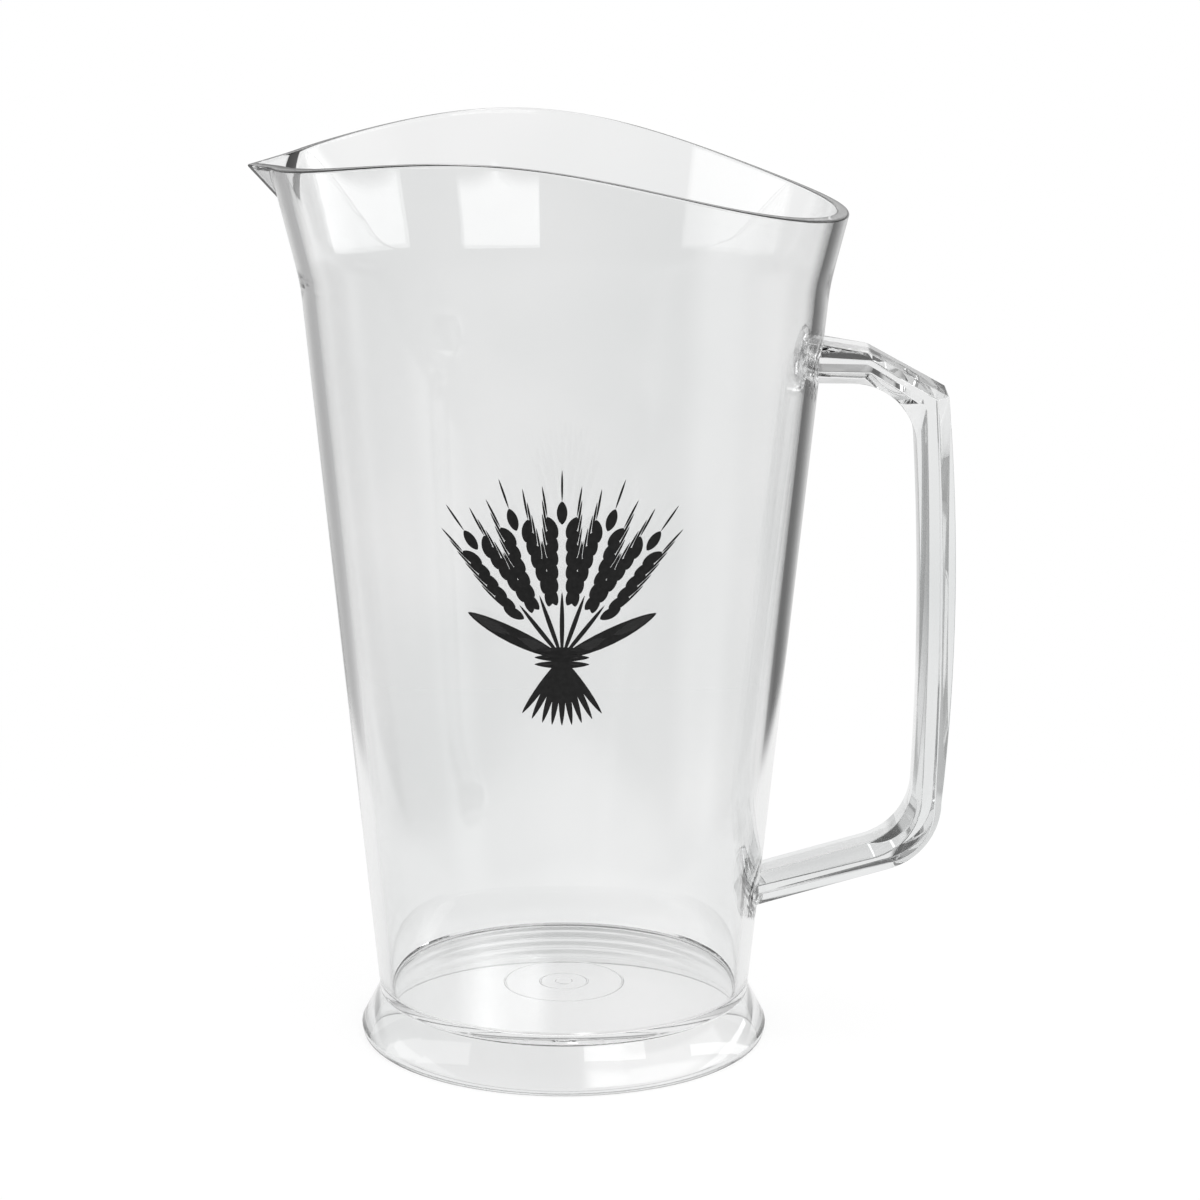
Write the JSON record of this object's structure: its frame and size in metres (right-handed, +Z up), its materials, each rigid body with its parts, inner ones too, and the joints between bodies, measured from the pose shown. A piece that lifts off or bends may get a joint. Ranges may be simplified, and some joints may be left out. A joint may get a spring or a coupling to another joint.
{
  "type": "pitcher",
  "caption": "Clear plastic pitcher with a tapered round body, a flared waved rim, a pinched pouring beak, a flared hollow foot and a faceted loop handle.",
  "frame": {"origin": "on the ground under the foot, at the middle of the whole pitcher seen from above; the round wall's axis is 9.8 mm from it towards the beak", "axes": "+Z up, +X towards the handle, -X towards the beak, the pitcher is symmetric across Y"},
  "size_m": [0.1758, 0.1472, 0.2292],
  "materials": {
    "clear_plastic": "clear, polished mould finish",
    "ink": "black printed ink, satin"
  },
  "bodies": {
    "root": {"body_shell": "clear_plastic", "floor_disc": "clear_plastic", "foot_ring": "clear_plastic", "handle": "clear_plastic"}
  },
  "joints": []
}
